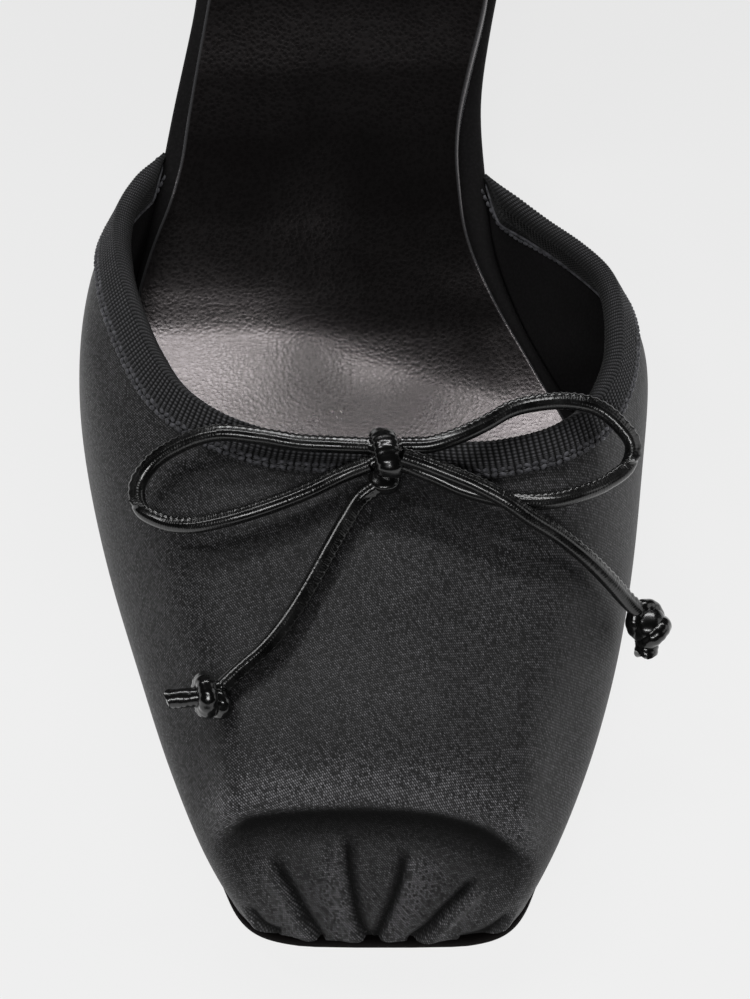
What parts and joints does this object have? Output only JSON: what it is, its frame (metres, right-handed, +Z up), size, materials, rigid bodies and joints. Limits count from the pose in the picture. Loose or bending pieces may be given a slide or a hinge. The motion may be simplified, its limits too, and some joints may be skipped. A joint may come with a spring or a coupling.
{
  "type": "heeled satin pump with ankle tie",
  "caption": "Right satin pump with open sides: squared closed toe, ribbed binding, leather cord bow on the throat, leather sock, low tapered heel and a flat ankle tie.",
  "frame": {"origin": "on the floor under the ball of the foot, on the outsole's flat tread", "axes": "+Z up, +Y towards the heel (the toe points along -Y), +X towards the medial side of this right shoe"},
  "size_m": [0.0878, 0.244, 0.1076],
  "materials": {
    "satin": "black satin, fine diagonal twill with a soft grey sheen",
    "grosgrain": "black ribbed tape",
    "sock_leather": "black grained leather, half gloss",
    "lining_leather": "black smooth lining leather",
    "sole_leather": "dark brown-black sole leather",
    "cord_leather": "glossy black round leather cord",
    "rubber": "matt black rubber"
  },
  "bodies": {
    "root": {"vamp_upper": "satin", "heel_counter": "satin", "vamp_binding": "grosgrain", "counter_binding": "grosgrain", "outsole": "sole_leather", "insole": "lining_leather", "sock": "sock_leather", "heel": "satin", "heel_top_piece": "rubber", "bow_knot": "cord_leather", "bow_loop_lateral": "cord_leather", "bow_loop_medial": "cord_leather", "bow_tail_lateral": "cord_leather", "bow_tail_medial": "cord_leather", "tail_knot_lateral": "cord_leather", "tail_knot_medial": "cord_leather", "tie_lateral": "satin", "tie_medial": "satin", "tie_knot": "satin", "tie_end_lateral": "satin", "tie_end_medial": "satin"}
  },
  "joints": []
}
